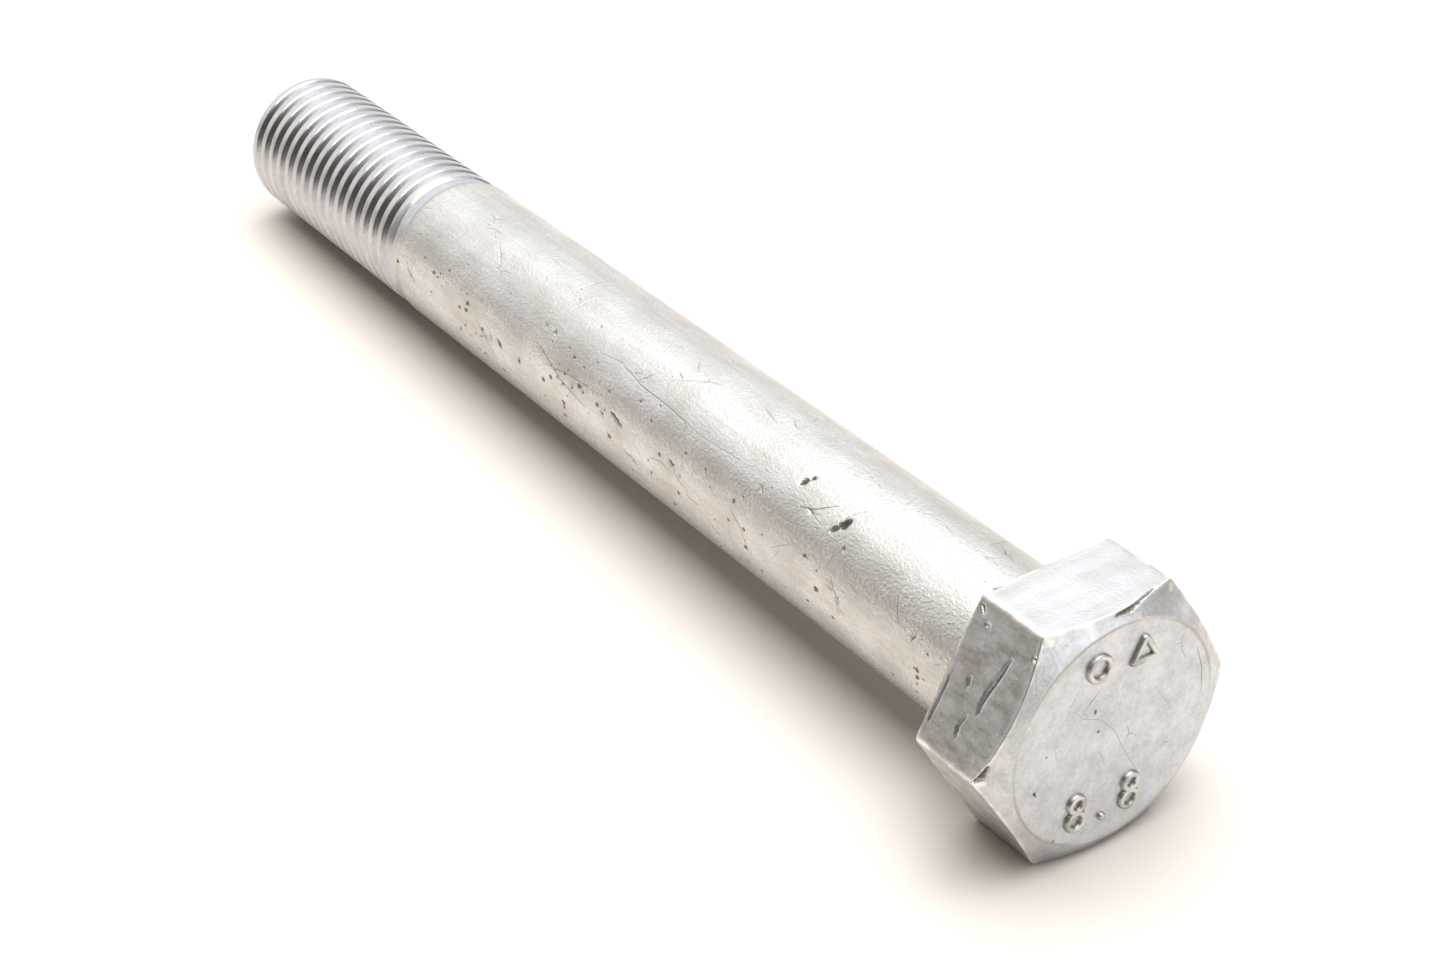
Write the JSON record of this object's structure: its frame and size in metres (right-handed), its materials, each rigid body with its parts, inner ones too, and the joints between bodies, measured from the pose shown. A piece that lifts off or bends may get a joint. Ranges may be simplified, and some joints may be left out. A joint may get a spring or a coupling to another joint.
{
  "type": "hex head bolt",
  "caption": "Long zinc-plated steel hex head bolt with a plain shank, a short rolled right-hand thread and a chamfered point.",
  "frame": {"origin": "centre of the bearing face under the head, on the bolt's axis", "axes": "+X along the axis out through the head, with the shank and thread along -X; +Z square to a pair of the head's flats"},
  "size_m": [0.2149, 0.0406, 0.0352],
  "materials": {
    "forged_head_zinc": "zinc plated over a cold-forged surface, dull and blotchy",
    "drawn_shank_zinc": "zinc plated over a drawn surface, satin with fine lengthwise marks",
    "rolled_thread_zinc": "zinc plated over a rolled surface, bright"
  },
  "bodies": {
    "root": {"hex_head": "forged_head_zinc", "washer_face": "forged_head_zinc", "underhead_fillet": "drawn_shank_zinc", "plain_shank": "drawn_shank_zinc", "thread_runout": "rolled_thread_zinc", "rolled_thread": "rolled_thread_zinc", "chamfered_point": "rolled_thread_zinc", "strength_mark": "forged_head_zinc", "maker_mark": "forged_head_zinc"}
  },
  "joints": []
}
